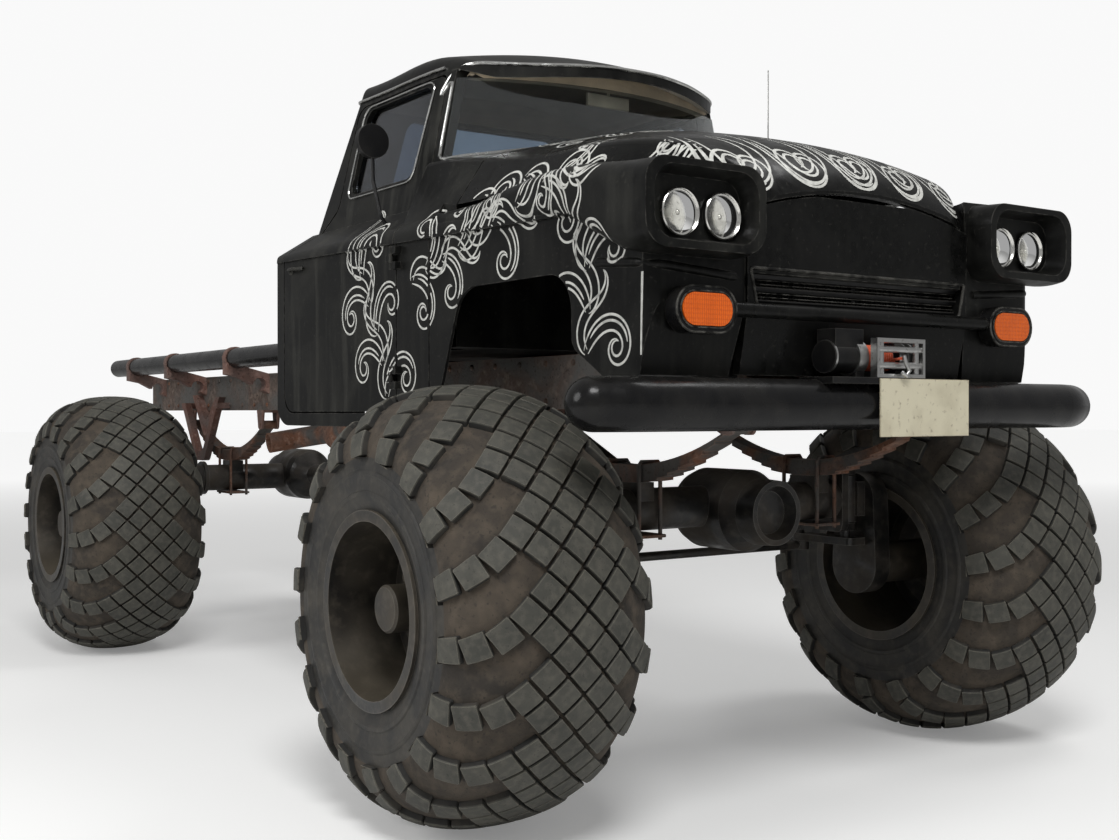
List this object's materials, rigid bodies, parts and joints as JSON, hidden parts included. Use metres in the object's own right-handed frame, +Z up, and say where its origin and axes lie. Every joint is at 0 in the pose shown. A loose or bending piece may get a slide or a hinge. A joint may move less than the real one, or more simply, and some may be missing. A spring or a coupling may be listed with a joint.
{
  "type": "medium-duty truck",
  "caption": "High-riding forward-hooded truck with a hollow cab, bare rear frame, portal axles, wide flotation tyres, opening doors and hood, steering and a front winch.",
  "frame": {"origin": "middle of the bounding box in plan, on the ground", "axes": "+X forward, +Y to the truck's left, +Z up"},
  "size_m": [6.445, 3.089, 2.96],
  "materials": {
    "tyre_rubber": "matte, dusty",
    "wheel_black": "satin black",
    "body_black": "worn satin black",
    "trim_black": "black",
    "clear_glass": "clear",
    "lamp_glass": "clear lens on a bright bowl",
    "amber_lens": "ribbed amber",
    "frame_black": "black paint",
    "rusty_steel": "rusty",
    "axle_iron": "dark, oily and dusty",
    "engine_iron": "dark grey",
    "seat_cover": "dark cloth",
    "mirror_silver": "bright",
    "plate_cream": "blank cream"
  },
  "bodies": {
    "chassis": {"antenna": "trim_black", "bumper": "frame_black", "cab_roof": "body_black", "cab_shell": "body_black", "dash": "trim_black", "driveshafts": "rusty_steel", "engine": "engine_iron", "exhaust": "rusty_steel", "fender_left": "body_black", "fender_right": "body_black", "frame_brackets": "rusty_steel", "frame_rails": "frame_black", "front_axle": "axle_iron", "front_panel": "body_black", "gearbox": "engine_iron", "grille": "trim_black", "headlights": "lamp_glass", "interior_mirror": "mirror_silver", "leaf_springs": "rusty_steel", "load_tubes": "frame_black", "number_plate": "plate_cream", "rear_axle": "axle_iron", "rear_window": "clear_glass", "seat": "seat_cover", "signal_bezels": "trim_black", "signal_lenses": "amber_lens", "steering_wheel": "trim_black", "winch": "frame_black", "windshield": "clear_glass"},
    "wheel_front_left": {"tyre_front_left": "tyre_rubber", "rim_front_left": "wheel_black"},
    "wheel_front_right": {"tyre_front_right": "tyre_rubber", "rim_front_right": "wheel_black"},
    "wheel_rear_left": {"tyre_rear_left": "tyre_rubber", "rim_rear_left": "wheel_black"},
    "wheel_rear_right": {"tyre_rear_right": "tyre_rubber", "rim_rear_right": "wheel_black"},
    "steer_knuckle_left": {"knuckle_left": "axle_iron"},
    "steer_knuckle_right": {"knuckle_right": "axle_iron"},
    "steering_rod": {"tie_rod": "axle_iron"},
    "side_door_left": {"door_left": "body_black", "door_glass_left": "clear_glass", "mirror_left": "trim_black"},
    "side_door_right": {"door_right": "body_black", "door_glass_right": "clear_glass", "mirror_right": "trim_black"},
    "engine_hood": {"hood": "body_black"}
  },
  "joints": [
    {"name": "steer_left", "type": "hinge", "parent": "chassis", "child": "steer_knuckle_left", "pos_m": [2.3775, 0.66, 1.005], "axis": [0, 0, 1], "range_deg": [-25, 25]},
    {"name": "steer_right", "type": "hinge", "parent": "chassis", "child": "steer_knuckle_right", "pos_m": [2.3775, -0.66, 1.005], "axis": [0, 0, 1], "range_deg": [-25, 25]},
    {"name": "rod_swing", "type": "hinge", "parent": "steer_knuckle_left", "child": "steering_rod", "pos_m": [2.1275, 0.66, 0.8], "axis": [0, 0, 1], "range_deg": [-25, 25]},
    {"name": "spin_front_left", "type": "hinge", "parent": "steer_knuckle_left", "child": "wheel_front_left", "pos_m": [2.3775, 1.1815, 0.727], "axis": [0, 1, 0], "continuous": true},
    {"name": "spin_front_right", "type": "hinge", "parent": "steer_knuckle_right", "child": "wheel_front_right", "pos_m": [2.3775, -1.1815, 0.727], "axis": [0, 1, 0], "continuous": true},
    {"name": "spin_rear_left", "type": "hinge", "parent": "chassis", "child": "wheel_rear_left", "pos_m": [-1.5975, 1.1815, 0.727], "axis": [0, 1, 0], "continuous": true},
    {"name": "spin_rear_right", "type": "hinge", "parent": "chassis", "child": "wheel_rear_right", "pos_m": [-1.5975, -1.1815, 0.727], "axis": [0, 1, 0], "continuous": true},
    {"name": "door_left_swing", "type": "hinge", "parent": "chassis", "child": "side_door_left", "pos_m": [1.451, 0.9595, 1.74], "axis": [0, 0, -1], "range_deg": [0, 65]},
    {"name": "door_right_swing", "type": "hinge", "parent": "chassis", "child": "side_door_right", "pos_m": [1.451, -0.9595, 1.74], "axis": [0, 0, 1], "range_deg": [0, 65]},
    {"name": "hood_lift", "type": "hinge", "parent": "chassis", "child": "engine_hood", "pos_m": [1.8145, 0, 2.488], "axis": [0, -1, 0], "range_deg": [0, 50]}
  ],
  "couplings": [
    {"joint": "steer_right", "follows": "steer_left", "ratio": 1},
    {"joint": "rod_swing", "follows": "steer_left", "ratio": -1}
  ]
}
